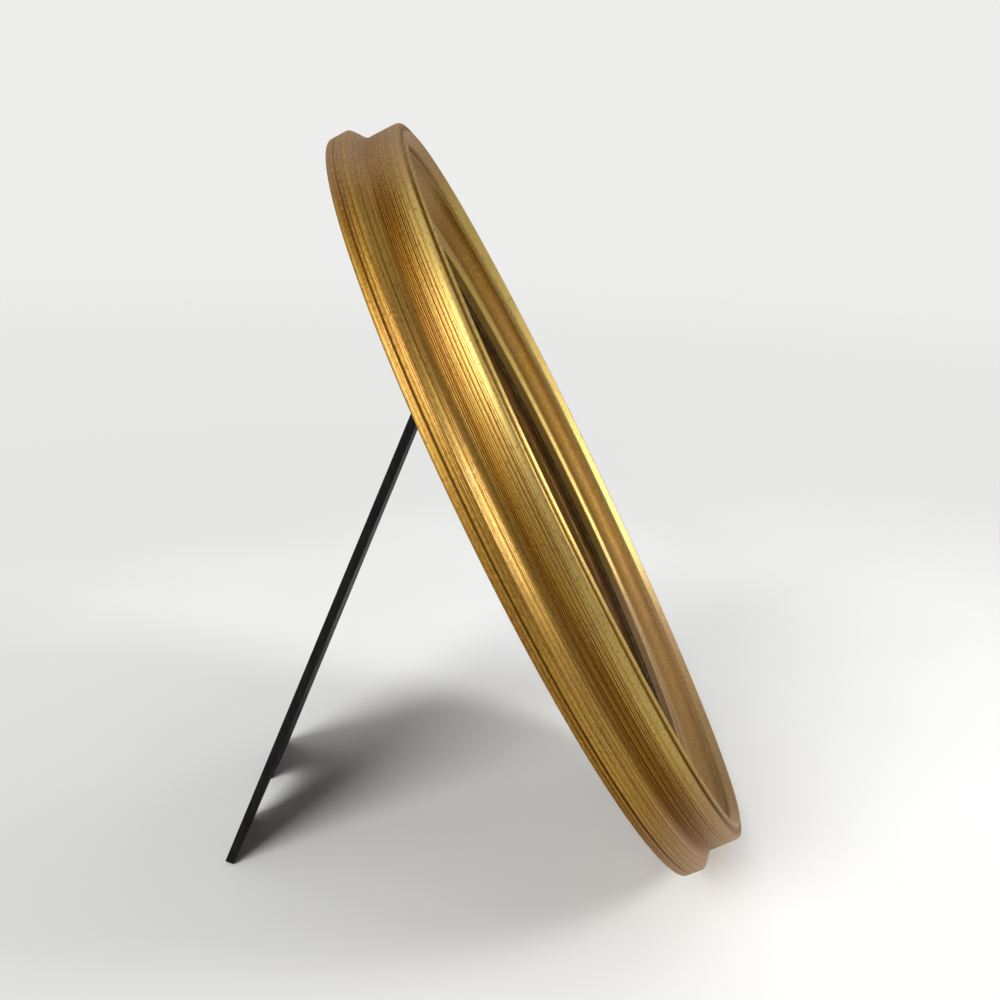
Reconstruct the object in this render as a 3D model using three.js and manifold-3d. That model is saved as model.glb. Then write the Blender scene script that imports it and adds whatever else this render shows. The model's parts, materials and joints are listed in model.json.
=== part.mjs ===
// Oval easel back picture frame, leaning back on its open strut.
// Millimetres, +Z up, front toward -Y, standing on Z = 0.

import * as THREE from "three";
import { mergeVertices } from "three/addons/utils/BufferGeometryUtils.js";
import Module from "manifold-3d";

const wasm = await Module();
wasm.setup();

const { acos, asin, atan2, cos, hypot, max, PI, sin } = Math;
const degrees = THREE.MathUtils.degToRad;

// Stance: the moulding leans back, and the strut opens away from its back.
const LEAN = degrees(28.8);
const OPENING = degrees(49.8);
const STRUT_LEAN = OPENING - LEAN;

// Room left between pieces that rest on each other.
const GAP = 0.3;

// Moulding: half axes of the widest outline, then its section.
// Offsets are measured from the widest outline, heights from the flat back.
const HALF_HEIGHT = 110;
const HALF_WIDTH = 84.6;
const OVAL_SLIDE = HALF_HEIGHT - HALF_WIDTH;
const RING_STEPS = 80;
const CURVE_STEPS = 3;
const RABBET_OFFSET = -20.1;
const RABBET_DEPTH = 6.8;
const SIGHT_OFFSET = -26;
const SIGHT_HEIGHT = 8.9;
const BACK_EDGE_ROUND = 0.5;
const QUIRK_HEIGHT = 2.1;
const QUIRK_DEPTH = 0.25;
const BAND_HEIGHT = 4.45;
const SLOPE_TOP = 4.7;
const SLOPE_FOOT = 7.4;
const COVE_OFFSET = -3.8;
const COVE_HEIGHT = 8.75;
const RIM_OFFSET = -3.9;
const RIM_HEIGHT = 15.3;
const SHOULDER_HEIGHT = 17;
const GROOVE_OFFSET = -5.7;
const GROOVE_HALF_WIDTH = 0.6;
const GROOVE_DEPTH = 0.5;
const LIP_INNER_OFFSET = -8.3;
const LIP_CROWN = 18;
const SCOOP_TOP_OFFSET = -8.7;
const SCOOP_TOP_HEIGHT = 14.9;
const SCOOP_FOOT_OFFSET = -20.4;
const SCOOP_FOOT_HEIGHT = 9.3;
const BEAD_WIDTH = 2.5;
const BEAD_CROWN = 1.7;

// Flat pieces in the rabbet, from the back: board, filler, print, glass.
const FLAT_OFFSET = -21.1;
const FLAT_STEPS = 40;
const BOARD_THICK = 2.3;
const FILLER_THICK = 0.7;
const PRINT_THICK = 0.3;
const GLASS_THICK = 2;

// Hinge between the board and the strut.
const HINGE_HEIGHT = 50;
const PIN_RADIUS = 0.8;
const BORE_RADIUS = 0.95;
const KNUCKLE_RADIUS = 1.7;
const LEAF_THICK = 0.7;
const LEAF_ROUND = 3;
const BOARD_LEAF_WIDTH = 25;
const BOARD_LEAF_LENGTH = 15;
const STRUT_LEAF_WIDTH = 20;
const STRUT_LEAF_LENGTH = 12;
const MIDDLE_KNUCKLE_WIDTH = 9.6;
const KNUCKLE_CLEARANCE = 0.6;
const PIN_BEHIND_BOARD = GAP + KNUCKLE_RADIUS;
const PIN_BEHIND_BACK = PIN_BEHIND_BOARD - GAP;

// Rivets through the hinge leaves.
const RIVET_HEAD_RADIUS = 2;
const RIVET_HEAD_HEIGHT = 0.8;
const RIVET_RADIUS = 1.1;
const BOARD_RIVET_X = 7.5;
const BOARD_RIVET_Z = 9;
const STRUT_RIVET_X = 5.5;
const STRUT_RIVET_Z = -7.5;

// Strut: a tapered board with an arch cut between its two feet.
const STRUT_THICK = 2.3;
const STRUT_TOP_HALF_WIDTH = 18;
const STRUT_FOOT_HALF_WIDTH = 32.4;
const STRUT_HEEL = 3.6;
const HEEL_STOP_GAP = 0.06;
const NOTCH_HALF_WIDTH = 13.3;
const NOTCH_DEPTH = 2.4;
const ARCH_HALF_WIDTH = 10.6;
const ARCH_HEIGHT = 11;
const FOOT_ROUND = 1.5;
const FOOT_FLAT = 0.9;
const STRUT_BACK = KNUCKLE_RADIUS - LEAF_THICK - GAP;
const STRUT_FRONT = STRUT_BACK - STRUT_THICK;

// Turn buttons on the back of the moulding, and their screws.
const BUTTON_OFFSET = -11;
const BUTTON_ANGLES = { top_right: 22, bottom_right: 132, bottom_left: 228, top_left: 338 };
const BUTTON_ROOT_RADIUS = 4.5;
const BUTTON_TIP_RADIUS = 3;
const BUTTON_LENGTH = 12;
const BUTTON_THICK = 0.8;
const BUTTON_HOLE_RADIUS = 1.6;
const SCREW_RADIUS = 1.2;
const SCREW_LENGTH = 8;
const SCREW_POINT = 2.5;
const SCREW_HEAD_RADIUS = 3;
const SCREW_HEAD_HEIGHT = 1.2;
const SLOT_WIDTH = 0.8;
const SLOT_DEPTH = 0.6;
const PILOT_RADIUS = 1.5;
const PILOT_DEPTH = 9;

// Materials
const finish = (color, roughness, metalness) =>
  new THREE.MeshStandardMaterial({ color, roughness, metalness });
const gold = finish(0xb5863a, 0.38, 0.75);
const blackBoard = finish(0x141313, 0.8, 0);
const blackCard = finish(0x1d1814, 0.9, 0);
const greyCard = finish(0x8c857a, 0.95, 0);
const brass = finish(0xb08d45, 0.35, 1);
const steel = finish(0x8f8f8c, 0.35, 1);
const glazing = finish(0xdfe8e6, 0.05, 0);
glazing.transparent = true;
glazing.opacity = 0.3;

// Turns a three.js geometry into a solid that can be cut, and back.
function solid(geometry) {
  const bare = geometry.clone();
  bare.deleteAttribute("normal");
  bare.deleteAttribute("uv");
  const merged = mergeVertices(bare, 1e-4);
  return new wasm.Manifold(
    new wasm.Mesh({
      numProp: 3,
      vertProperties: new Float32Array(merged.attributes.position.array),
      triVerts: new Uint32Array(merged.index.array),
    }),
  );
}

function geometryOf(body) {
  const { numProp, vertProperties, triVerts } = body.getMesh();
  const geometry = new THREE.BufferGeometry();
  const buffer = new THREE.InterleavedBuffer(vertProperties, numProp);
  geometry.setAttribute("position", new THREE.InterleavedBufferAttribute(buffer, 3, 0));
  geometry.setIndex(new THREE.BufferAttribute(triVerts, 1));
  const plain = geometry.toNonIndexed();
  plain.computeVertexNormals();
  return plain;
}

const cut = (geometry, ...tools) =>
  geometryOf(tools.reduce((body, tool) => body.subtract(solid(tool)), solid(geometry)));

const keep = (geometry, tool) => geometryOf(solid(geometry).intersect(solid(tool)));

// An outline in X and Z, given thickness from yFront back to yBack.
function plate(outline, yFront, yBack, curveSegments = 10) {
  const depth = yBack - yFront;
  const geometry = new THREE.ExtrudeGeometry(outline, { depth, curveSegments, bevelEnabled: false });
  return geometry.rotateX(PI / 2).translate(0, yBack, 0);
}

// A section in Y and Z, run along X about the middle.
function bar(section, width, curveSegments = 10) {
  const depth = width;
  const geometry = new THREE.ExtrudeGeometry(section, { depth, curveSegments, bevelEnabled: false });
  const across = new THREE.Matrix4().makeBasis(
    new THREE.Vector3(0, 1, 0),
    new THREE.Vector3(0, 0, 1),
    new THREE.Vector3(1, 0, 0),
  );
  return geometry.applyMatrix4(across).translate(-width / 2, 0, 0);
}

// A straight hole from yFront back to yBack.
function drill(x, z, radius, yFront, yBack) {
  const geometry = new THREE.CylinderGeometry(radius, radius, yBack - yFront, 12);
  return geometry.translate(x, (yFront + yBack) / 2, z);
}

// A block that removes all that lies below a plane, where up is turned about X by the tilt.
function blockBelow(height, tilt) {
  const size = 200;
  const block = new THREE.BoxGeometry(size, size, size).translate(0, 0, height - size / 2);
  return block.rotateX(tilt);
}

// Spreads a turned ring into an oval, as the slide of an oval lathe does:
// every point moves along Z with the cosine of its angle round the ring.
function ovalTurn(geometry) {
  const position = geometry.attributes.position;
  for (let i = 0; i < position.count; i++) {
    const x = position.getX(i);
    const z = position.getZ(i);
    position.setZ(i, z + (OVAL_SLIDE * z) / hypot(x, z));
  }
  return geometry;
}

// Half section of the moulding, from the rabbet's mouth round the outside and over the front.
function mouldingSection() {
  const section = new THREE.Path();
  const bead = (start) => {
    const end = start - BEAD_WIDTH;
    const crown = SCOOP_FOOT_HEIGHT + BEAD_CROWN;
    section.quadraticCurveTo(start - BEAD_WIDTH / 2, crown, end, SCOOP_FOOT_HEIGHT);
    return end;
  };
  // Flat back, rounded back edge and plain band with its quirk
  section.moveTo(RABBET_OFFSET, 0);
  section.lineTo(-BACK_EDGE_ROUND, 0);
  section.quadraticCurveTo(0, 0, 0, BACK_EDGE_ROUND);
  section.lineTo(0, QUIRK_HEIGHT - QUIRK_DEPTH);
  section.lineTo(-QUIRK_DEPTH, QUIRK_HEIGHT);
  section.lineTo(0, QUIRK_HEIGHT + QUIRK_DEPTH);
  section.lineTo(0, BAND_HEIGHT);
  // Crisp edge of the band, slope into the cove, and the side that rises to the rim
  section.quadraticCurveTo(0, SLOPE_TOP, COVE_OFFSET / 2, (SLOPE_TOP + SLOPE_FOOT) / 2);
  section.quadraticCurveTo(COVE_OFFSET, SLOPE_FOOT, COVE_OFFSET, COVE_HEIGHT);
  section.quadraticCurveTo(COVE_OFFSET, (COVE_HEIGHT + RIM_HEIGHT) / 2, RIM_OFFSET, RIM_HEIGHT);
  // Rim, groove and lip bead
  section.quadraticCurveTo(
    RIM_OFFSET,
    SHOULDER_HEIGHT,
    GROOVE_OFFSET + GROOVE_HALF_WIDTH,
    SHOULDER_HEIGHT,
  );
  section.lineTo(GROOVE_OFFSET, SHOULDER_HEIGHT - GROOVE_DEPTH);
  section.lineTo(GROOVE_OFFSET - GROOVE_HALF_WIDTH, SHOULDER_HEIGHT);
  section.quadraticCurveTo(
    (GROOVE_OFFSET - GROOVE_HALF_WIDTH + LIP_INNER_OFFSET) / 2,
    LIP_CROWN,
    LIP_INNER_OFFSET,
    SHOULDER_HEIGHT,
  );
  // Scoop down to the double bead at the sight edge
  section.lineTo(SCOOP_TOP_OFFSET, SCOOP_TOP_HEIGHT);
  section.bezierCurveTo(
    SCOOP_TOP_OFFSET + (SCOOP_FOOT_OFFSET - SCOOP_TOP_OFFSET) / 4,
    (SCOOP_TOP_HEIGHT + SCOOP_FOOT_HEIGHT) / 2,
    SCOOP_TOP_OFFSET + (SCOOP_FOOT_OFFSET - SCOOP_TOP_OFFSET) / 2,
    SCOOP_FOOT_HEIGHT,
    SCOOP_FOOT_OFFSET,
    SCOOP_FOOT_HEIGHT,
  );
  bead(bead(SCOOP_FOOT_OFFSET));
  section.lineTo(SIGHT_OFFSET, SIGHT_HEIGHT);
  // Sight edge and rabbet
  section.lineTo(SIGHT_OFFSET, RABBET_DEPTH);
  section.lineTo(RABBET_OFFSET, RABBET_DEPTH);
  section.closePath();
  return section.getPoints(CURVE_STEPS);
}

const section = mouldingSection();

// How far the floor lies below the middle of the moulding's back.
const FLOOR_DROP = max(...section.map((p) => (HALF_HEIGHT + p.x) * cos(LEAN) - p.y * sin(LEAN)));

const PIN_ABOVE_FLOOR = FLOOR_DROP + HINGE_HEIGHT * cos(LEAN) - PIN_BEHIND_BACK * sin(LEAN);

// Where each turn button pivots, and which way is straight in from the rim there.
const buttonPlaces = Object.entries(BUTTON_ANGLES).map(([corner, angle]) => {
  const across = sin(degrees(angle)) * (HALF_WIDTH + BUTTON_OFFSET);
  const up = cos(degrees(angle)) * (HALF_HEIGHT + BUTTON_OFFSET);
  const outX = sin(degrees(angle)) / (HALF_WIDTH + BUTTON_OFFSET);
  const outZ = cos(degrees(angle)) / (HALF_HEIGHT + BUTTON_OFFSET);
  return { corner, x: across, z: up, turn: atan2(outX, outZ) };
});

// Turned oval moulding, with pilot holes for the turn button screws.
function moulding() {
  const profile = section.map((p) => new THREE.Vector2(HALF_WIDTH + p.x, -p.y)).reverse();
  const ring = ovalTurn(new THREE.LatheGeometry(profile, RING_STEPS));
  const holes = buttonPlaces.map(({ x, z }) => drill(x, z, PILOT_RADIUS, -PILOT_DEPTH, 1));
  return cut(ring, ...holes);
}

// Oval sheet that lies in the rabbet.
function flatOval(yFront, yBack) {
  const outline = new THREE.Shape();
  outline.absellipse(0, 0, HALF_WIDTH + FLAT_OFFSET, HALF_HEIGHT + FLAT_OFFSET, 0, 2 * PI);
  return plate(outline, yFront, yBack, FLAT_STEPS);
}

// Easel board, drilled for the hinge rivets.
function easelBoard(yFront, yBack) {
  const holes = [-BOARD_RIVET_X, BOARD_RIVET_X].map((x) =>
    drill(x, HINGE_HEIGHT + BOARD_RIVET_Z, RIVET_RADIUS + GAP, yFront - 1, yBack + 1),
  );
  return cut(flatOval(yFront, yBack), ...holes);
}

// Box between two corners.
function block(low, high) {
  const size = high.map((value, i) => value - low[i]);
  const middle = high.map((value, i) => (value + low[i]) / 2);
  return new THREE.BoxGeometry(...size).translate(...middle);
}

// Section of a hinge leaf: a plate that rises from a knuckle rolled round the pin.
function leafSection(length) {
  const plateBack = LEAF_THICK - KNUCKLE_RADIUS;
  const outline = new THREE.Shape();
  outline.moveTo(-KNUCKLE_RADIUS, length);
  outline.lineTo(-KNUCKLE_RADIUS, 0);
  outline.absarc(0, 0, KNUCKLE_RADIUS, PI, 2 * PI + acos(plateBack / KNUCKLE_RADIUS), false);
  outline.lineTo(plateBack, length);
  outline.closePath();
  const bore = new THREE.Path();
  bore.absarc(0, 0, BORE_RADIUS, 0, 2 * PI, true);
  outline.holes.push(bore);
  return outline;
}

// A whole leaf with rounded far corners, its knuckle still running the full width.
function leafBlank(width, length) {
  const half = width / 2;
  const outline = new THREE.Shape();
  outline.moveTo(-half, -2 * KNUCKLE_RADIUS);
  outline.lineTo(half, -2 * KNUCKLE_RADIUS);
  outline.lineTo(half, length - LEAF_ROUND);
  outline.absarc(half - LEAF_ROUND, length - LEAF_ROUND, LEAF_ROUND, 0, PI / 2, false);
  outline.absarc(LEAF_ROUND - half, length - LEAF_ROUND, LEAF_ROUND, PI / 2, PI, false);
  outline.closePath();
  const trim = plate(outline, -2 * KNUCKLE_RADIUS, 2 * KNUCKLE_RADIUS, 4);
  return keep(bar(leafSection(length + 1), width + 1), trim);
}

// Leaf on the board: open in the middle for the strut's knuckle.
function boardLeaf() {
  const reach = 2 * KNUCKLE_RADIUS;
  const windowHalf = MIDDLE_KNUCKLE_WIDTH / 2 + KNUCKLE_CLEARANCE;
  const window = block([-windowHalf, -reach, -reach], [windowHalf, reach, KNUCKLE_RADIUS + GAP]);
  const holes = [-BOARD_RIVET_X, BOARD_RIVET_X].map((x) =>
    drill(x, BOARD_RIVET_Z, RIVET_RADIUS + GAP, -reach, reach),
  );
  return cut(leafBlank(BOARD_LEAF_WIDTH, BOARD_LEAF_LENGTH), window, ...holes);
}

// Leaf on the strut: hangs from its middle knuckle, clear of the two outer ones.
function strutLeaf() {
  const reach = 2 * KNUCKLE_RADIUS;
  const knuckleHalf = MIDDLE_KNUCKLE_WIDTH / 2;
  const edge = STRUT_LEAF_WIDTH;
  const clear = -KNUCKLE_RADIUS - GAP;
  const blank = leafBlank(STRUT_LEAF_WIDTH, STRUT_LEAF_LENGTH).rotateX(PI);
  const left = block([-edge, -reach, clear], [-knuckleHalf, reach, reach]);
  const right = block([knuckleHalf, -reach, clear], [edge, reach, reach]);
  const holes = [-STRUT_RIVET_X, STRUT_RIVET_X].map((x) =>
    drill(x, STRUT_RIVET_Z, RIVET_RADIUS + GAP, -reach, reach),
  );
  return cut(blank, left, right, ...holes);
}

function hingePin() {
  const pin = new THREE.CylinderGeometry(PIN_RADIUS, PIN_RADIUS, BOARD_LEAF_WIDTH, 16);
  return pin.rotateZ(PI / 2);
}

// Domed rivet: its head stands on Y = 0 and its shank reaches forward.
function rivet(shank) {
  const profile = new THREE.Path();
  profile.moveTo(0, -shank);
  profile.lineTo(RIVET_RADIUS, -shank);
  profile.lineTo(RIVET_RADIUS, 0);
  profile.lineTo(RIVET_HEAD_RADIUS, 0);
  profile.quadraticCurveTo(RIVET_HEAD_RADIUS, RIVET_HEAD_HEIGHT, 0, RIVET_HEAD_HEIGHT);
  return new THREE.LatheGeometry(profile.getPoints(4), 16);
}

// Strut about the hinge pin: bevelled heel, notch for the hinge, taper, arch and floor flats.
function strut() {
  const floorCut = STRUT_FRONT + FOOT_FLAT * cos(STRUT_LEAN);
  const foot = -(PIN_ABOVE_FLOOR + floorCut * sin(STRUT_LEAN)) / cos(STRUT_LEAN);
  const outline = new THREE.Shape();
  outline.moveTo(-STRUT_TOP_HALF_WIDTH, STRUT_HEEL);
  outline.lineTo(-STRUT_FOOT_HALF_WIDTH, foot + FOOT_ROUND);
  outline.quadraticCurveTo(-STRUT_FOOT_HALF_WIDTH, foot, FOOT_ROUND - STRUT_FOOT_HALF_WIDTH, foot);
  outline.lineTo(-ARCH_HALF_WIDTH, foot);
  outline.absellipse(0, foot, ARCH_HALF_WIDTH, ARCH_HEIGHT, PI, 0, true);
  outline.lineTo(STRUT_FOOT_HALF_WIDTH - FOOT_ROUND, foot);
  outline.quadraticCurveTo(STRUT_FOOT_HALF_WIDTH, foot, STRUT_FOOT_HALF_WIDTH, foot + FOOT_ROUND);
  outline.lineTo(STRUT_TOP_HALF_WIDTH, STRUT_HEEL);
  outline.lineTo(NOTCH_HALF_WIDTH, STRUT_HEEL);
  outline.lineTo(NOTCH_HALF_WIDTH, -NOTCH_DEPTH);
  outline.lineTo(-NOTCH_HALF_WIDTH, -NOTCH_DEPTH);
  outline.lineTo(-NOTCH_HALF_WIDTH, STRUT_HEEL);
  outline.closePath();
  const holes = [-STRUT_RIVET_X, STRUT_RIVET_X].map((x) =>
    drill(x, STRUT_RIVET_Z, RIVET_RADIUS + GAP, STRUT_FRONT - 1, STRUT_BACK + 1),
  );
  const heelBevel = blockBelow(HEEL_STOP_GAP - PIN_BEHIND_BOARD, -(PI / 2 + OPENING));
  const floorFlat = blockBelow(-PIN_ABOVE_FLOOR, -STRUT_LEAN);
  return cut(plate(outline, STRUT_FRONT, STRUT_BACK, 8), heelBevel, floorFlat, ...holes);
}

// Turn button about its screw, with its tip toward -Z.
function turnButton() {
  const side = -asin((BUTTON_ROOT_RADIUS - BUTTON_TIP_RADIUS) / BUTTON_LENGTH);
  const outline = new THREE.Shape();
  outline.absarc(0, 0, BUTTON_ROOT_RADIUS, side, PI - side, false);
  outline.absarc(0, -BUTTON_LENGTH, BUTTON_TIP_RADIUS, PI - side, 2 * PI + side, false);
  outline.closePath();
  const hole = new THREE.Path();
  hole.absarc(0, 0, BUTTON_HOLE_RADIUS, 0, 2 * PI, true);
  outline.holes.push(hole);
  return plate(outline, GAP, GAP + BUTTON_THICK, 8);
}

// Slotted round-head wood screw that holds a turn button.
function buttonScrew() {
  const seat = 2 * GAP + BUTTON_THICK;
  const top = seat + SCREW_HEAD_HEIGHT;
  const profile = new THREE.Path();
  profile.moveTo(0, -SCREW_LENGTH);
  profile.lineTo(SCREW_RADIUS, SCREW_POINT - SCREW_LENGTH);
  profile.lineTo(SCREW_RADIUS, seat);
  profile.lineTo(SCREW_HEAD_RADIUS, seat);
  profile.quadraticCurveTo(SCREW_HEAD_RADIUS, top, 0, top);
  const blank = new THREE.LatheGeometry(profile.getPoints(4), 16);
  const reach = 2 * SCREW_HEAD_RADIUS;
  const slot = block([-reach, top - SLOT_DEPTH, -SLOT_WIDTH / 2], [reach, top + 1, SLOT_WIDTH / 2]);
  return cut(blank, slot);
}

function place(parent, name, geometry, material, x = 0, y = 0, z = 0) {
  const mesh = new THREE.Mesh(geometry, material);
  mesh.name = name;
  mesh.position.set(x, y, z);
  parent.add(mesh);
}

// Assembly, in the frame's own axes: X across, Y toward the back, Z up along the moulding.
const frame = new THREE.Group();
frame.rotation.x = -LEAN;
place(frame, "moulding", moulding(), gold);

let sheetBack = -GAP;
const addSheet = (name, thick, material, shape) => {
  place(frame, name, shape(sheetBack - thick, sheetBack), material);
  sheetBack -= thick + GAP;
};
addSheet("easel_board", BOARD_THICK, blackBoard, easelBoard);
addSheet("filler_board", FILLER_THICK, greyCard, flatOval);
addSheet("picture_sheet", PRINT_THICK, blackCard, flatOval);
addSheet("glass", GLASS_THICK, glazing, flatOval);

const hinge = new THREE.Group();
hinge.position.set(0, PIN_BEHIND_BACK, HINGE_HEIGHT);
frame.add(hinge);
place(hinge, "hinge_board_leaf", boardLeaf(), brass);
place(hinge, "hinge_pin", hingePin(), steel);

const strutGroup = new THREE.Group();
strutGroup.rotation.x = OPENING;
hinge.add(strutGroup);
place(strutGroup, "strut", strut(), blackBoard);
place(strutGroup, "hinge_strut_leaf", strutLeaf(), brass);

const boardRivetSeat = LEAF_THICK - KNUCKLE_RADIUS + GAP;
const boardRivetShank = LEAF_THICK + BOARD_THICK + GAP;
const strutRivetSeat = KNUCKLE_RADIUS + GAP;
const strutRivetShank = LEAF_THICK + STRUT_THICK + GAP;
for (const [side, sign] of [["left", -1], ["right", 1]]) {
  place(hinge, "board_rivet_" + side, rivet(boardRivetShank), brass,
    sign * BOARD_RIVET_X, boardRivetSeat, BOARD_RIVET_Z);
  place(strutGroup, "strut_rivet_" + side, rivet(strutRivetShank), brass,
    sign * STRUT_RIVET_X, strutRivetSeat, STRUT_RIVET_Z);
}

for (const { corner, x, z, turn } of buttonPlaces) {
  const pivot = new THREE.Group();
  pivot.position.set(x, 0, z);
  pivot.rotation.y = turn;
  frame.add(pivot);
  place(pivot, "turn_button_" + corner, turnButton(), brass);
  place(pivot, "turn_button_screw_" + corner, buttonScrew(), steel);
}

// Stand the object on the floor, with the middle of its footprint at the origin.
frame.updateMatrixWorld(true);
const bounds = new THREE.Box3().setFromObject(frame, true);
frame.position.set(0, -(bounds.min.y + bounds.max.y) / 2, -bounds.min.z);

const object = new THREE.Group();
object.add(frame);

export default object;
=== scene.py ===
# Oval easel back picture frame: turned gilt moulding, easel board, strut and brass fittings.
# Lengths are in metres, with +Z up and the front of the frame toward -Y.

import json
import math

import bpy
import numpy as np
from mathutils import Matrix, Quaternion, Vector

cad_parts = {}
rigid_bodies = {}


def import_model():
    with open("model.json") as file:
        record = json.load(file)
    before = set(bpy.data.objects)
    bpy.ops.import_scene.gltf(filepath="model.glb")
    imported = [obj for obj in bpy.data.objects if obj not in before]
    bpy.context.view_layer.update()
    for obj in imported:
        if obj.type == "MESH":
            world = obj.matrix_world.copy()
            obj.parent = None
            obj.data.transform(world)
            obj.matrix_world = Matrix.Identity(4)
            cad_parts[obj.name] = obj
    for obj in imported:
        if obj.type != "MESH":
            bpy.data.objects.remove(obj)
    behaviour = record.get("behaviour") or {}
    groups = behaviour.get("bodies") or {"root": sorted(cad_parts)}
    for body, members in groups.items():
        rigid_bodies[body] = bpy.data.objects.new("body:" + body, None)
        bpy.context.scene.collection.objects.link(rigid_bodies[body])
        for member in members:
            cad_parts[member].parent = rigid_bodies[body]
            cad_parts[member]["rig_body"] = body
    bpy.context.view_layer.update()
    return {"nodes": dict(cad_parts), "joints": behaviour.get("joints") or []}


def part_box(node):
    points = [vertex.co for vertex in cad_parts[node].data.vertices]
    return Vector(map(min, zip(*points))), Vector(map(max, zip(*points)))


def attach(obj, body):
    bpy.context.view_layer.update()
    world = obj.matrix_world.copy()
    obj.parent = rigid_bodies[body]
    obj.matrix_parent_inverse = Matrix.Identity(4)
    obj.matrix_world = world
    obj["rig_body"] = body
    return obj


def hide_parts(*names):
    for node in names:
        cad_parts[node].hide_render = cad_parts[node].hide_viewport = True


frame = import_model()

MM = 0.001
JOINTS = {joint["name"]: joint for joint in frame["joints"]}
BUTTON_JOINTS = [name for name in JOINTS if name.startswith("button_")]

# Stance: the buttons turn on the flat back about its own normal,
# and the middle of the back lies straight behind the middle of the easel board.
BACK_NORMAL = Vector(JOINTS[BUTTON_JOINTS[0]]["axis"])
BUTTON_PIVOT = Vector(JOINTS[BUTTON_JOINTS[0]]["pos_m"])
BOARD_MIDDLE = sum((Vector(corner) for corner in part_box("easel_board")), Vector()) / 2
BACK_MIDDLE = BOARD_MIDDLE + BACK_NORMAL * (BUTTON_PIVOT - BOARD_MIDDLE).dot(BACK_NORMAL)
HINGE_PIN = Vector(JOINTS["strut_fold"]["pos_m"])
LEAN = math.atan2(-BACK_NORMAL.z, BACK_NORMAL.y)
OPENING = math.radians(49.8)

FRAME_PLACE = Matrix.Translation(BACK_MIDDLE) @ Matrix.Rotation(-LEAN, 4, "X")
HINGE_PLACE = Matrix.Translation(HINGE_PIN) @ Matrix.Rotation(-LEAN, 4, "X")
STRUT_PLACE = Matrix.Translation(HINGE_PIN) @ Matrix.Rotation(OPENING - LEAN, 4, "X")

# Moulding: half axes of its widest outline, then its section in millimetres.
# Offsets run inward from that outline as negative values, heights from the flat back.
HALF_HEIGHT = 110 * MM
HALF_WIDTH = 84.6 * MM
OVAL_SLIDE = HALF_HEIGHT - HALF_WIDTH
RING_STEPS = 300
RABBET_OFFSET = -20.1
RABBET_DEPTH = 6.8
SIGHT_OFFSET = -26
SIGHT_HEIGHT = 8.9
BACK_EDGE_ROUND = 0.5
QUIRK_HEIGHT = 2.1
QUIRK_DEPTH = 0.25
BAND_HEIGHT = 4.45
SLOPE_TOP = 4.7
SLOPE_FOOT = 7.4
COVE_OFFSET = -3.8
COVE_HEIGHT = 8.75
RIM_OFFSET = -3.9
RIM_HEIGHT = 15.3
SHOULDER_HEIGHT = 17
GROOVE_OFFSET = -5.7
GROOVE_HALF_WIDTH = 0.6
GROOVE_DEPTH = 0.5
LIP_BEVEL = 0.52
LIP_CROWN = (-7.21, 17.85)
LIP_CROWN_END = (-7.652, 17.416)
LIP_SLOPE = math.radians(49)
LIP_SLOPE_END = -8.9
LIP_FOOT_ROUND = 0.3
SCOOP_TOP = (-9.3, 14.4)
SCOOP_FOOT = (-20.4, 9.3)
BEAD_WIDTH = 2.5
BEAD_CROWN = 1.7

# How far apart the points of the section lie, closer where light shows the shape.
FINE_STEP = 0.1
CROWN_STEP = 0.12
QUIRK_STEP = 0.14
ROUND_STEP = 0.15
GROOVE_STEP = 0.2
BEAD_STEP = 0.25
SIGHT_STEP = 0.35
SCOOP_STEP = 0.5
WALL_STEP = 1
RABBET_STEP = 3
BACK_STEP = 4

# Marks of the turning tool on the outside of the moulding.
TOOL_MARK_SPACING = 0.65
TOOL_MARK_HALF_WIDTH = 0.15
TOOL_MARK_DEPTH = 0.014

# Deeper turning lines, measured round the outside from the back edge.
DEEP_LINES = (1.3, 3.5, 4.6, 6.0, 7.5, 8.7, 10.0, 10.8, 12.0, 12.6, 13.7, 14.4, 15.4, 16.0)
DEEP_LINE_HALF_WIDTH = 0.19

# Share of brown wax and of painted shade, which darkens the hollows where shade falls: by height in the cove
# and the deeper lines, by offset over the groove and down from the top of the scoop, and in each small
# hollow.
COVE_WAX_AND_SHADE = ((6.5, 0.0), (7.5, 0.65), (8.4, 0.9), (9.8, 0.85), (11.5, 0.5), (14.5, 0.0))
COVE_EDGE = -1
DEEP_LINE_WAX = ((2, 0.6), (5, 0.75), (8, 1.0), (12, 0.95), (16, 0.8))
# Over the groove and the edge of the shoulder the umber is all painted shade.
GROOVE_SHADE = ((-6.5, 0), (-6.35, 1), (-4.5, 1), (-4.25, 0))
SCOOP_WAX_AND_SHADE = ((-12, 0), (-10.4, 0.75), (-9.3, 1.0))
QUIRK_WAX_AND_SHADE = 0.6
LIP_FOOT_WAX_AND_SHADE = 0.4
LIP_FOOT_REACH = 0.35
BEAD_WAX_AND_SHADE = 0.25
BEAD_VALLEY_REACH = 0.3
BEAD_FOOT_REACH = 0.5
SIGHT_WAX_AND_SHADE = 0.15

# Flat pieces in the rabbet.
FLAT_OFFSET = -21.1 * MM
BOARD_BACK = -0.3 * MM
BOARD_FRONT = -2.6 * MM
BOARD_STEPS = 128
BOARD_EASE = 0.2 * MM

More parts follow.
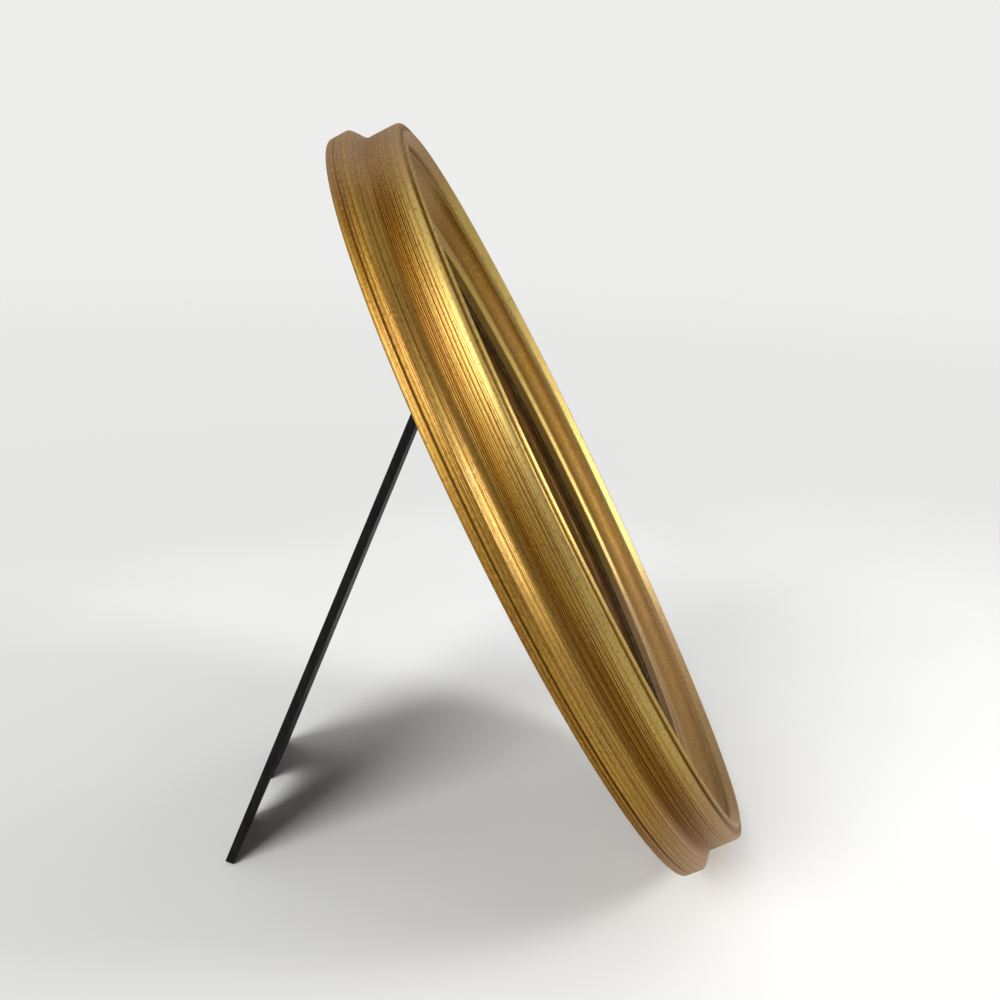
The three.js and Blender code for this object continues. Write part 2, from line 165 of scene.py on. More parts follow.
# Hinge, with the ends of its rolled knuckles in degrees about the pin.
KNUCKLE_RADIUS = 1.7 * MM
KNUCKLE_START = 180
KNUCKLE_END = 470
BORE_END = 196
BORE_RADIUS = 0.95 * MM
PIN_RADIUS = 0.8 * MM
LEAF_THICK = 0.7 * MM
LEAF_ROUND = 3 * MM
BOARD_LEAF_WIDTH = 25 * MM
BOARD_LEAF_LENGTH = 15 * MM
STRUT_LEAF_WIDTH = 20 * MM
STRUT_LEAF_LENGTH = 12 * MM
MIDDLE_KNUCKLE_WIDTH = 9.6 * MM
KNUCKLE_CLEARANCE = 0.6 * MM
LEAF_EASE = 0.1 * MM
PIN_EASE = 0.2 * MM
GAP = 0.3 * MM

# Rivets
RIVET_HEAD_RADIUS = 2 * MM
RIVET_HEAD_HEIGHT = 0.8 * MM
RIVET_RADIUS = 1.1 * MM
BOARD_RIVET = (7.5 * MM, 9 * MM)
STRUT_RIVET = (5.5 * MM, -7.5 * MM)

# Strut
STRUT_THICK = 2.3 * MM
STRUT_BACK = KNUCKLE_RADIUS - LEAF_THICK - GAP
STRUT_FRONT = STRUT_BACK - STRUT_THICK
STRUT_TOP_HALF_WIDTH = 18 * MM
STRUT_FOOT_HALF_WIDTH = 32.4 * MM
STRUT_HEEL = 3.6 * MM
HEEL_STOP_GAP = 0.06 * MM
NOTCH_HALF_WIDTH = 13.3 * MM
NOTCH_DEPTH = 2.4 * MM
ARCH_HALF_WIDTH = 10.6 * MM
ARCH_HEIGHT = 11 * MM
ARCH_STEPS = 32
FOOT_ROUND = 1.5 * MM
FOOT_FLAT = 0.9 * MM
STRUT_EASE = 0.22 * MM

# Domed heads of rivets and screws
DOME_STEPS = 7
DOME_SHARE = 0.8
HEAD_EASE = 0.06 * MM

# Turn buttons and their screws
BUTTON_ROOT_RADIUS = 4.5 * MM
BUTTON_TIP_RADIUS = 3 * MM
BUTTON_LENGTH = 12 * MM
BUTTON_THICK = 0.8 * MM
BUTTON_HOLE_RADIUS = 1.6 * MM
BUTTON_EASE = 0.18 * MM
BUTTON_RING_INSET = 11 * MM
SCREW_RADIUS = 1.2 * MM
SCREW_LENGTH = 8 * MM
SCREW_POINT = 2.5 * MM
SCREW_TIP_SHARE = 0.12
SCREW_HEAD_RADIUS = 3 * MM
SCREW_HEAD_HEIGHT = 1.2 * MM
SLOT_WIDTH = 0.8 * MM
SLOT_DEPTH = 0.6 * MM
SLOT_TURNS = {"top_right": 0.5, "bottom_right": 1.9, "bottom_left": 0.2, "top_left": 1.1}

# Camera, measured from the picture's perspective.
CAMERA_TARGET = Vector((0, 0.001026, 0.099969))
CAMERA_DISTANCE = 0.278262
CAMERA_AZIMUTH = math.radians(271.526)
CAMERA_ELEVATION = math.radians(17.26)
CAMERA_ROLL = math.radians(2.346)
CAMERA_LENS = 36.108
CAMERA_SENSOR = 36
CAMERA_NEAR = 0.01
CAMERA_FAR = 20


# Modelling helpers

BROKEN_EDGE_ANGLE = math.radians(32)
SMOOTH_ANGLE = math.radians(40)
MOULDING_SMOOTH_ANGLE = math.radians(50)
SAME_PLACE = 1e-6


def start_piece():
    """Leaves nothing selected, in object mode, before a new piece is added."""
    if bpy.context.mode != "OBJECT":
        bpy.ops.object.mode_set(mode="OBJECT")
    bpy.ops.object.select_all(action="DESELECT")


def make_active(piece):
    start_piece()
    piece.select_set(True)
    bpy.context.view_layer.objects.active = piece


def closed_outline(points):
    """A closed loop of edges through the given points."""
    start_piece()
    bpy.ops.mesh.primitive_circle_add(vertices=len(points), radius=0.01, fill_type="NOTHING")
    piece = bpy.context.object
    for vertex, point in zip(piece.data.vertices, points):
        vertex.co = point
    return piece


def extrude_outline(points, along):
    """Fills an outline and runs it along a direction into a solid."""
    piece = closed_outline(points)
    bpy.ops.object.mode_set(mode="EDIT")
    bpy.ops.mesh.select_all(action="SELECT")
    bpy.ops.mesh.edge_face_add()
    bpy.ops.mesh.extrude_region_move(TRANSFORM_OT_translate={"value": along})
    bpy.ops.mesh.select_all(action="SELECT")
    bpy.ops.mesh.normals_make_consistent(inside=False)
    bpy.ops.object.mode_set(mode="OBJECT")
    return piece


def arc(radius, start, end, steps, centre=(0.0, 0.0)):
    """Points on a circle from one angle to another, both ends included."""
    angles = np.linspace(math.radians(start), math.radians(end), steps + 1)
    return [(centre[0] + radius * math.cos(a), centre[1] + radius * math.sin(a)) for a in angles]


def saw_off(piece, point, outward):
    """Cuts away all that lies beyond a plane and closes the cut."""
    make_active(piece)
    bpy.ops.object.mode_set(mode="EDIT")
    bpy.ops.mesh.select_all(action="SELECT")
    bpy.ops.mesh.bisect(plane_co=point, plane_no=outward, use_fill=True, clear_outer=True)
    bpy.ops.object.mode_set(mode="OBJECT")


def cut_with(piece, tool):
    """Takes the tool's shape out of the piece."""
    make_active(piece)
    cutter = piece.modifiers.new("cut", "BOOLEAN")
    cutter.operation = "DIFFERENCE"
    cutter.solver = "EXACT"
    cutter.object = tool
    bpy.ops.object.modifier_apply(modifier=cutter.name)
    bpy.data.objects.remove(tool)


def ease_edges(piece, width, segments=3):
    """Breaks every sharp edge of a piece and smooths what is round."""
    make_active(piece)
    easing = piece.modifiers.new("eased_edges", "BEVEL")
    easing.width = width
    easing.segments = segments
    easing.limit_method = "ANGLE"
    easing.angle_limit = BROKEN_EDGE_ANGLE
    easing.harden_normals = False
    bpy.ops.object.modifier_apply(modifier=easing.name)
    bpy.ops.object.shade_smooth_by_angle(angle=SMOOTH_ANGLE)


def block(low, high):
    """A plain block between two corners, used to cut."""
    start_piece()
    low, high = Vector(low), Vector(high)
    bpy.ops.mesh.primitive_cube_add(size=1, location=(low + high) / 2, scale=high - low)
    bpy.ops.object.transform_apply(location=True, rotation=True, scale=True)
    return bpy.context.object


def drill(x, z, radius, front, back):
    """A round rod along Y, used to cut a hole."""
    start_piece()
    bpy.ops.mesh.primitive_cylinder_add(
        vertices=32,
        radius=radius,
        depth=back - front,
        location=(x, (front + back) / 2, z),
        rotation=(math.radians(90), 0, 0),
    )
    bpy.ops.object.transform_apply(location=True, rotation=True, scale=True)
    return bpy.context.object


def copy_of(piece):
    """Another piece of the same shape, with a mesh of its own."""
    make_active(piece)
    bpy.ops.object.duplicate(linked=False)
    return bpy.context.object


def settle(piece, name, place, node, material):
    """Puts a finished piece in its place on the object, where it stands for its CAD node."""
    make_active(piece)
    piece.matrix_world = place
    bpy.ops.object.transform_apply(location=True, rotation=True, scale=True)
    piece.name = name
    piece.data.name = name
    piece.data.materials.clear()
    piece.data.materials.append(material)
    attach(piece, frame["nodes"][node]["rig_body"])
    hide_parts(node)
    return piece


# Material helpers

class Recipe:
    """Nodes of one finish, ending in a Principled shader."""

    def __init__(self, name):
        self.material = bpy.data.materials.new(name)
        self.material.use_nodes = True
        self.tree = self.material.node_tree
        self.shader = self.tree.nodes["Principled BSDF"]

    def node(self, kind, inputs=None, **settings):
        made = self.tree.nodes.new(kind)
        for name, value in settings.items():
            setattr(made, name, value)
        for name, value in (inputs or {}).items():
            self.feed(made.inputs[name], value)
        return made

    def feed(self, socket, value):
        if isinstance(value, bpy.types.NodeSocket):
            self.tree.links.new(value, socket)
        else:
            socket.default_value = value

    def finish(self, **sockets):
        for name, value in sockets.items():
            self.feed(self.shader.inputs[name.replace("_", " ").title()], value)
        return self.material

    def place(self, scale=(1, 1, 1), turn=(0, 0, 0)):
        """Position on the piece, stretched to follow a grain."""
        position = self.node("ShaderNodeTexCoord").outputs["Object"]
        return self.stretch(position, scale, turn)

    def stretch(self, vector, scale, turn=(0, 0, 0)):
        mapping = self.node("ShaderNodeMapping", {"Vector": vector, "Scale": scale, "Rotation": turn})
        return mapping.outputs["Vector"]

    def attribute(self, name, output="Fac"):
        return self.node("ShaderNodeAttribute", attribute_name=name).outputs[output]

    def noise(self, vector, detail=2.0, roughness=0.5):
        inputs = {"Vector": vector, "Scale": 1.0, "Detail": detail, "Roughness": roughness}
        return self.node("ShaderNodeTexNoise", inputs).outputs["Fac"]

    def range(self, value, low, high, to_low=0.0, to_high=1.0):
        """Eases a value from one range into another."""
        inputs = {"Value": value, "From Min": low, "From Max": high, "To Min": to_low, "To Max": to_high}
        return self.node("ShaderNodeMapRange", inputs, interpolation_type="SMOOTHSTEP").outputs["Result"]

    def math(self, operation, a, b=0.0):
        """Joins two values, and keeps a sum between 0 and 1."""
        made = self.node("ShaderNodeMath", operation=operation, use_clamp=operation == "ADD")
        self.feed(made.inputs[0], a)
        self.feed(made.inputs[1], b)
        return made.outputs[0]

    def mix(self, factor, a, b):
        """Mixes two colours, whose sockets come after the node's number and vector sockets."""
        made = self.node("ShaderNodeMix", data_type="RGBA")
        self.feed(made.inputs[0], factor)
        self.feed(made.inputs[6], a)
        self.feed(made.inputs[7], b)
        return made.outputs[2]

    def ramp(self, value, *stops):
        made = self.node("ShaderNodeValToRGB", {"Fac": value})
        elements = made.color_ramp.elements
        while len(elements) < len(stops):
            elements.new(0.5)
        for element, (position, colour) in zip(elements, stops):
            element.position = position
            element.color = colour
        return made.outputs["Color"]

    def bump(self, height, distance, strength, below=None):
        inputs = {"Height": height, "Distance": distance, "Strength": strength}
        if below is not None:
            inputs["Normal"] = below
        return self.node("ShaderNodeBump", inputs).outputs["Normal"]


def tint(red, green, blue):
    return (red, green, blue, 1.0)


# Finishes

GOLD_DEEP = tint(0.14, 0.048, 0.002)
GOLD_MIDDLE = tint(0.285, 0.132, 0.011)
GOLD_PALE = tint(0.47, 0.285, 0.048)
# Pale gold of rubbed edges, used also as a painted highlight.
RUBBED_HIGHLIGHT_GOLD = tint(0.48, 0.36, 0.11)
UMBER = tint(0.07, 0.021, 0.002)
# The darkest umber is painted shade, in the groove and at the top of the scoop.
DEEP_UMBER_SHADE = tint(0.03, 0.008, 0.001)
DULL_GOLD = tint(0.25, 0.15, 0.075)
PALER_LOW_GOLD = tint(0.4, 0.27, 0.16)
TAN_GOLD = tint(0.18, 0.09, 0.01)
RUBBED_GOLD = tint(0.52, 0.34, 0.14)
RAW_WOOD_LIGHT = tint(0.44, 0.29, 0.15)
RAW_WOOD_DARK = tint(0.25, 0.145, 0.065)
GLANCING_GOLD = tint(0.62, 0.36, 0.11)
BLACK_COAT = tint(0.004, 0.004, 0.0045)
GREY_COAT = tint(0.011, 0.011, 0.01)
COAT_FLECK = tint(0.06, 0.056, 0.05)
PEBBLE_TOP = tint(0.02, 0.019, 0.018)
PEBBLE_HOLLOW = tint(0.008, 0.008, 0.008)
PALE_DUST = tint(0.14, 0.13, 0.115)
SHEET_BROWN = tint(0.032, 0.009, 0.001)
SHEET_FIBRE = tint(0.055, 0.017, 0.002)
SHEET_CLOUD = tint(0.066, 0.021, 0.002)
CARD_LIGHT = tint(0.26, 0.235, 0.2)
CARD_DARK = tint(0.15, 0.135, 0.115)
BRASS = tint(0.7, 0.5, 0.22)
BROWN_BRASS = tint(0.36, 0.23, 0.09)
STEEL = tint(0.6, 0.6, 0.58)
GREY_STEEL = tint(0.3, 0.29, 0.27)
GLASS_GREEN = tint(0.95, 0.985, 0.965)

# Picture glass with a treated face mirrors little, even at a low angle.
GLASS_IOR = 1.015

# How far up the oval the gold turns dull with a painted tan sheen, its lines fade and it turns paler: 1 is
# its top and -1 its bottom.
DULL_TOP = (0.78, 0.95)
DULL_BOTTOM = (-0.3, -0.75)
FADED_BOTTOM = (-0.45, -0.92)
PALER_BOTTOM = (-0.45, -0.95)

# Fine turning lines, one knock in the slope, and the depth of the finish.
LINE_SPACING = 0.43 * MM
LINE_WANDER = 16
KNOCK_ANGLE = math.radians(288.4)
KNOCK_BELOW_CREST = 1.8 * MM
KNOCK_EDGE = 2.2 * MM
KNOCK_HEART = 0.8 * MM
WAX_AND_SHADE_DEPTH = 0.05 * MM
FLAKE_DEPTH = 0.02 * MM
WOOD_GRAIN_DEPTH = 0.1 * MM
LACQUER = 0.24
LACQUER_ON_WAX_AND_SHADE = 0.02
LACQUER_ROUGHNESS = 0.3


def gilt_wood():
    """Gold bronze rubbed over turned wood, with brown wax left in the fine turning lines, brown wax and
    painted shade in the hollows, a paler painted highlight where it is rubbed, a painted tan sheen at the top
    and bottom, and paler towards the bottom.
    """
    r = Recipe("gilt_wood")
    lathe = r.attribute("lathe", "Vector")
    hollow = r.attribute("hollow")
    lined = r.attribute("lined")
    rubbed_and_highlit = r.attribute("rubbed_and_highlit")
    bare = r.attribute("bare")
    around = r.node("ShaderNodeSeparateXYZ", {0: lathe})
    up = r.math("DIVIDE", around.outputs["Y"], HALF_WIDTH)

    # The lines are clear along both long sides, and the top and the bottom are dull, with a painted tan
    # sheen.
    top = r.range(up, *DULL_TOP)
    ends = r.math("MAXIMUM", top, r.range(up, *DULL_BOTTOM, 0.0, 0.95))
    faded = r.math("MAXIMUM", top, r.range(up, *FADED_BOTTOM, 0.0, 0.8))
    shows = r.math("MULTIPLY", lined, r.range(faded, 0.0, 1.0, 1.0, 0.05))
    shows = r.math("MULTIPLY", shows, r.range(rubbed_and_highlit, 0.2, 1.0, 1.0, 0.65))
    wander = r.noise(r.stretch(lathe, (8, 8, 260)))
    even = r.math("MULTIPLY", around.outputs["Z"], math.tau / LINE_SPACING)
    wave = r.math("SINE", r.math("SUBTRACT", even, r.math("MULTIPLY", wander, LINE_WANDER)))
    scored = r.noise(r.stretch(lathe, (12, 12, 4300)), detail=1.5, roughness=0.6)
    line = r.math("ADD", r.range(wave, -1.0, 1.0, 0.0, 0.34), r.range(scored, 0.22, 0.78, 0.0, 0.66))
    hair = r.noise(r.stretch(lathe, (40, 40, 9000)), detail=1)
    layer = r.noise(r.stretch(lathe, (11, 11, 640)), detail=3, roughness=0.6)
    patch = r.noise(r.stretch(lathe, (45, 45, 70)), detail=4, roughness=0.6)
    flake = r.noise(r.stretch(lathe, (1200, 1200, 2400)), roughness=0.65)

    gold = r.ramp(layer, (0.34, GOLD_DEEP), (0.5, GOLD_MIDDLE), (0.68, GOLD_PALE))
    ridge = r.math("MULTIPLY", r.range(line, 0.46, 0.26, 0.0, 0.75), shows)
    gold = r.mix(ridge, gold, GOLD_PALE)
    gold = r.mix(r.range(lined, 0.08, 0.4, 0.85, 0.0), gold, TAN_GOLD)
    # Paler gold where the edges are rubbed, also a painted highlight on the slope, upper flank, shoulder,
    # lip, bead and sight edge.
    gold = r.mix(r.math("MULTIPLY", rubbed_and_highlit, 0.8), gold, RUBBED_HIGHLIGHT_GOLD)
    # Painted tan sheen on the top and bottom ends, where the gold is seen at a glancing angle, partly their
    # own duller tan.
    end_sheen = r.math("MULTIPLY", ends, r.range(lined, 0.08, 0.12, 0.4, 0.85))
    # The gold turns paler towards the bottom.
    paler_low = r.math("MULTIPLY", r.range(up, *PALER_BOTTOM, 0.0, 0.8), r.range(lined, 0.08, 0.25))
    gold = r.mix(end_sheen, gold, DULL_GOLD)
    gold = r.mix(paler_low, gold, PALER_LOW_GOLD)
    gold = r.mix(r.range(patch, 0.5, 0.8, 0.0, 0.25), gold, DULL_GOLD)
    gold = r.mix(r.range(flake, 0.54, 0.66, 0.0, 0.5), gold, GOLD_PALE)
    gold = r.mix(r.range(flake, 0.46, 0.34, 0.0, 0.5), gold, GOLD_DEEP)

    # Wax in the lines; brown wax and painted shade in the cove, the quirks, the groove, the top of the scoop
    # and the foot of the lip, darkest where it is only painted shade.
    lines = r.math("MAXIMUM", r.range(line, 0.54, 0.72), r.range(hair, 0.52, 0.66, 0.0, 0.45))
    lines = r.math("MULTIPLY", lines, r.range(hollow, 0.0, 0.8, 0.7, 1.0))
    pooled_wax_and_shade = r.math("MULTIPLY", hollow, r.range(line, 0.3, 0.6, 0.5, 1.0))
    pooled_wax_and_shade = r.math("MULTIPLY", pooled_wax_and_shade, r.range(faded, 0.0, 1.0, 1.0, 0.35))
    waxed_and_shaded = r.math("MAXIMUM", r.math("MULTIPLY", lines, shows), pooled_wax_and_shade)
    umber_wax_and_shade = r.mix(r.range(hollow, 0.92, 1.0), UMBER, DEEP_UMBER_SHADE)
    finish = r.mix(waxed_and_shaded, gold, umber_wax_and_shade)

    # A few rubbed spots, and one knock across the slope under the crest.
    rubbed = r.noise(r.stretch(lathe, (330, 330, 620)), detail=3, roughness=0.65)
    worn = r.math("MULTIPLY", r.range(rubbed, 0.7, 0.78, 0.0, 0.6), r.range(patch, 0.5, 0.62))
    across = math.sin(KNOCK_ANGLE) * HALF_WIDTH
    above = math.cos(KNOCK_ANGLE) * HALF_WIDTH
    knock = (across, above, crest_run() + KNOCK_BELOW_CREST)
    reach = r.node("ShaderNodeVectorMath", {0: lathe, 1: knock}, operation="DISTANCE").outputs["Value"]
    chips = r.noise(r.stretch(lathe, (1600, 1600, 1800)), detail=3, roughness=0.6)
    knocked = r.range(reach, KNOCK_EDGE, KNOCK_HEART)
    knocked = r.math("MULTIPLY", knocked, r.range(chips, 0.45, 0.6, 0.0, 0.5))
    worn = r.math("MAXIMUM", worn, knocked)
    finish = r.mix(worn, finish, RUBBED_GOLD)

    # Raw wood on the back, with a little gold smeared over it.
    wood_grain = r.noise(r.place((900, 60, 60), (0.0, 0.3, 1.57)), detail=4, roughness=0.65)
    wood = r.mix(r.range(wood_grain, 0.35, 0.7), RAW_WOOD_LIGHT, RAW_WOOD_DARK)
    smear = r.range(r.noise(r.place((120, 120, 120)), detail=4), 0.42, 0.62, 0.0, 0.35)
    uncovered = r.math("SUBTRACT", bare, r.math("MULTIPLY", smear, bare))
    colour = r.mix(uncovered, finish, wood)

    # The gold is metal under a thin lacquer, and the wax with its painted shade, worn spots and raw wood are
    # duller.
    dull = r.math("MAXIMUM", r.math("MULTIPLY", waxed_and_shaded, 0.1), r.math("MULTIPLY", worn, 0.6))
    dull = r.math("MAXIMUM", dull, r.math("MULTIPLY", ends, 0.45))
    dull = r.math("MAXIMUM", dull, uncovered)
    metal = r.range(dull, 0.0, 1.0, 0.96, 0.0)
    satin = r.range(rubbed_and_highlit, 0.0, 0.4, 0.53, 0.43)
    rough = r.math("ADD", satin, r.range(dull, 0.0, 1.0, 0.0, 0.2))
    lacquer = r.range(r.math("MAXIMUM", waxed_and_shaded, uncovered), 0.0, 0.6, LACQUER, LACQUER_ON_WAX_AND_SHADE)
    r.shader.inputs["Specular Tint"].default_value = GLANCING_GOLD
    r.shader.inputs["Coat Roughness"].default_value = LACQUER_ROUGHNESS

    relief = r.bump(r.math("MULTIPLY", waxed_and_shaded, -1.0), WAX_AND_SHADE_DEPTH, 0.6)
    relief = r.bump(flake, FLAKE_DEPTH, 0.6, relief)
    relief = r.bump(r.math("MULTIPLY", wood_grain, bare), WOOD_GRAIN_DEPTH, 0.8, relief)
    return r.finish(base_color=colour, metallic=metal, roughness=rough, normal=relief, coat_weight=lacquer)


def black_board():
    """Dense board with a black coat and a few pale flecks."""
    r = Recipe("black_board")
    fibre = r.noise(r.place((700, 700, 180)), detail=4, roughness=0.65)
    speck = r.noise(r.place((1500, 1500, 1500)))
    cloud = r.noise(r.place((60, 60, 60)), detail=3)
    coat = r.mix(r.range(fibre, 0.35, 0.75), BLACK_COAT, GREY_COAT)
    coat = r.mix(r.range(speck, 0.68, 0.76, 0.0, 0.4), coat, COAT_FLECK)
    rough = r.range(cloud, 0.3, 0.7, 0.55, 0.72)
    relief = r.bump(fibre, 0.12 * MM, 0.5)
    relief = r.bump(speck, 0.04 * MM, 0.5, relief)
    r.shader.inputs["Specular IOR Level"].default_value = 0.1
    return r.finish(base_color=coat, roughness=rough, normal=relief)


def black_backing():
    """Black paper with a fine pebbled grain, glued over the easel board."""
    r = Recipe("black_backing")
    pebble = r.node("ShaderNodeTexVoronoi", {"Vector": r.place(), "Scale": 1300.0}, feature="SMOOTH_F1")
    grain = pebble.outputs["Distance"]
    cloud = r.noise(r.place((45, 45, 45)), detail=4)
    dust = r.noise(r.place((420, 420, 420)), detail=4, roughness=0.7)
    paper = r.mix(r.range(grain, 0.1, 0.7), PEBBLE_TOP, PEBBLE_HOLLOW)
    paper = r.mix(r.range(dust, 0.62, 0.8, 0.0, 0.25), paper, PALE_DUST)
    rough = r.range(cloud, 0.3, 0.7, 0.5, 0.72)
    return r.finish(base_color=paper, roughness=rough, normal=r.bump(grain, 0.12 * MM, 0.6))


def black_paper():
    """Plain dark brown sheet behind the glass, with soft paper fibres."""
    r = Recipe("black_paper")
    fibre = r.noise(r.place((260, 900, 900)), detail=5, roughness=0.7)
    cloud = r.noise(r.place((24, 24, 24)), detail=3)
    sheet = r.mix(r.range(fibre, 0.3, 0.75), SHEET_BROWN, SHEET_FIBRE)
    sheet = r.mix(r.range(cloud, 0.4, 0.75, 0.0, 0.35), sheet, SHEET_CLOUD)
    rough = r.range(fibre, 0.3, 0.7, 0.7, 0.9)
    r.shader.inputs["Specular IOR Level"].default_value = 0.01
    return r.finish(base_color=sheet, roughness=rough, normal=r.bump(fibre, 0.08 * MM, 0.5))


def grey_card():
    """Grey pulp card that fills the rabbet behind the sheet."""
    r = Recipe("grey_card")
    pulp = r.noise(r.place((600, 600, 600)), detail=5, roughness=0.7)
    card = r.mix(r.range(pulp, 0.3, 0.75), CARD_LIGHT, CARD_DARK)
    rough = r.range(pulp, 0.3, 0.7, 0.82, 0.95)
    return r.finish(base_color=card, roughness=rough, normal=r.bump(pulp, 0.1 * MM, 0.6))


def metal_finish(name, bright, tarnish, rough):
    """Drawn metal with fine scratches and a little tarnish."""
    r = Recipe(name)
    scratch = r.noise(r.place((2200, 300, 260), (0.3, 0.5, 0.7)), detail=3, roughness=0.6)
    cloud = r.noise(r.place((160, 160, 160)), detail=4, roughness=0.6)
    colour = r.mix(r.range(cloud, 0.42, 0.72, 0.0, 0.7), bright, tarnish)
    colour = r.mix(r.range(scratch, 0.6, 0.8, 0.0, 0.3), colour, tarnish)
    clouded = r.range(cloud, 0.3, 0.75, rough, rough + 0.22)
    scratched = r.math("ADD", clouded, r.range(scratch, 0.5, 0.8, 0.0, 0.12))
    relief = r.bump(scratch, 0.03 * MM, 0.5)
    return r.finish(base_color=colour, metallic=1.0, roughness=scratched, normal=relief)


def clear_glass():
    """Thin low-glare picture glass, faintly green, with a trace of handling on its face."""
    r = Recipe("clear_glass")
    smear = r.noise(r.place((30, 30, 55), (0.2, 0.0, 0.4)), detail=4, roughness=0.6)
    rough = r.range(smear, 0.5, 0.8, 0.0, 0.05)
    r.shader.inputs["IOR"].default_value = GLASS_IOR
    return r.finish(base_color=GLASS_GREEN, roughness=rough, transmission_weight=1.0)


# Moulding

def straight(start, end, spacing):
    """Points from start to end at about the given spacing, without the start."""
    steps = max(1, round(math.dist(start, end) / spacing))
    return [tuple(np.add(start, np.subtract(end, start) * (i + 1) / steps)) for i in range(steps)]


def curved(points, spacing):
    """Points on the Bezier curve through the given control points, without its start."""
    control = np.array(points, float)
    reach = sum(math.dist(a, b) for a, b in zip(points, points[1:]))
    steps = max(3, round(reach / spacing))
    degree = len(points) - 1
    made = []
    for t in np.linspace(0, 1, steps + 1)[1:]:
        weight = [math.comb(degree, k) * t**k * (1 - t) ** (degree - k) for k in range(degree + 1)]
        made.append(tuple(weight @ control))
    return made


def moulding_section():
    """Section of the moulding as (offset, height) in millimetres, and the zone of each point."""
    points, zones = [(RABBET_OFFSET, 0.0)], ["back"]

    def add(zone, made):
        points.extend(made)
        zones.extend([zone] * len(made))

    def line(zone, end, spacing):
        add(zone, straight(points[-1], end, spacing))

    def curve(zone, spacing, *control):
        add(zone, curved([points[-1], *control], spacing))

    line("back", (-BACK_EDGE_ROUND, 0), BACK_STEP)
    curve("edge", ROUND_STEP, (0, 0), (0, BACK_EDGE_ROUND))
    line("edge", (0, QUIRK_HEIGHT - QUIRK_DEPTH), FINE_STEP)
    line("quirk", (-QUIRK_DEPTH, QUIRK_HEIGHT), QUIRK_STEP)
    line("quirk", (0, QUIRK_HEIGHT + QUIRK_DEPTH), QUIRK_STEP)
    line("band", (0, BAND_HEIGHT), FINE_STEP)
    curve("slope", FINE_STEP, (0, SLOPE_TOP), (COVE_OFFSET / 2, (SLOPE_TOP + SLOPE_FOOT) / 2))
    curve("slope", FINE_STEP, (COVE_OFFSET, SLOPE_FOOT), (COVE_OFFSET, COVE_HEIGHT))
    curve("flank", FINE_STEP, (COVE_OFFSET, (COVE_HEIGHT + RIM_HEIGHT) / 2), (RIM_OFFSET, RIM_HEIGHT))

    shoulder_end = GROOVE_OFFSET + GROOVE_HALF_WIDTH
    lip_start = GROOVE_OFFSET - GROOVE_HALF_WIDTH
    curve("shoulder", CROWN_STEP, (RIM_OFFSET, SHOULDER_HEIGHT), (shoulder_end, SHOULDER_HEIGHT))
    line("quirk", (GROOVE_OFFSET, SHOULDER_HEIGHT - GROOVE_DEPTH), GROOVE_STEP)
    line("quirk", (lip_start, SHOULDER_HEIGHT), GROOVE_STEP)
    line("lip", (lip_start - LIP_BEVEL, SHOULDER_HEIGHT + LIP_BEVEL), ROUND_STEP)
    curve("lip", CROWN_STEP, LIP_CROWN, LIP_CROWN_END)
    fall = (LIP_CROWN_END[0] - LIP_SLOPE_END) * math.tan(LIP_SLOPE)
    slope_foot = LIP_CROWN_END[1] - fall
    line("lip", (LIP_SLOPE_END, slope_foot), ROUND_STEP)
    curve("lip", ROUND_STEP, (SCOOP_TOP[0], slope_foot - LIP_FOOT_ROUND), SCOOP_TOP)

    reach = SCOOP_FOOT[0] - SCOOP_TOP[0]
    upper = (SCOOP_TOP[0] + reach / 4, (SCOOP_TOP[1] + SCOOP_FOOT[1]) / 2)
    lower = (SCOOP_TOP[0] + reach / 2, SCOOP_FOOT[1])
    curve("scoop", SCOOP_STEP, upper, lower, SCOOP_FOOT)
    for _ in range(2):
        start = points[-1][0]
        crown = (start - BEAD_WIDTH / 2, SCOOP_FOOT[1] + BEAD_CROWN)
        curve("bead", BEAD_STEP, crown, (start - BEAD_WIDTH, SCOOP_FOOT[1]))
    line("sight", (SIGHT_OFFSET, SIGHT_HEIGHT), SIGHT_STEP)
    line("sight", (SIGHT_OFFSET, RABBET_DEPTH), WALL_STEP)
    line("rabbet", (RABBET_OFFSET, RABBET_DEPTH), RABBET_STEP)
    line("rabbet", (RABBET_OFFSET, 0), RABBET_STEP)
    return np.array(points[:-1]), zones[:-1]


OUTSIDE = ("edge", "band", "slope", "flank")


def run_along(points):
    """Distance of each point from the start of the section, measured along it."""
    steps = np.linalg.norm(np.diff(points, axis=0, prepend=points[:1]), axis=1)
    return np.cumsum(steps)


def tool_marks(points, zones):
    """Depth of the turning tool's marks at each point of the section, from 0 to 1."""
    run = run_along(points)
    depth = np.zeros(len(points))
    outside = np.isin(zones, OUTSIDE)
    first, last = run[outside].min(), run[outside].max()
    count = int((last - first) / TOOL_MARK_SPACING)
    for mark in range(1, count):
        # The tool is held by hand, so the marks are uneven in place and depth.
        wander = 0.24 * math.sin(mark * 2.4) + 0.12 * math.sin(mark * 5.7)
        strength = 0.55 + 0.45 * math.sin(mark * 3.9 + 1.0)
        middle = first + TOOL_MARK_SPACING * (mark + wander)
        shape = np.clip(1 - np.abs(run - middle) / TOOL_MARK_HALF_WIDTH, 0, 1)
        depth = np.maximum(depth, strength * shape)
    return depth * outside


def share_at(values, table):
    """Share of wax at each value, read off a table of values and shares."""
    return np.interp(values, *zip(*table))


def beside(distance, reach):
    """1 on a line of the section, falling away to 0 on both its sides."""
    return np.exp(-((distance / reach) ** 2))


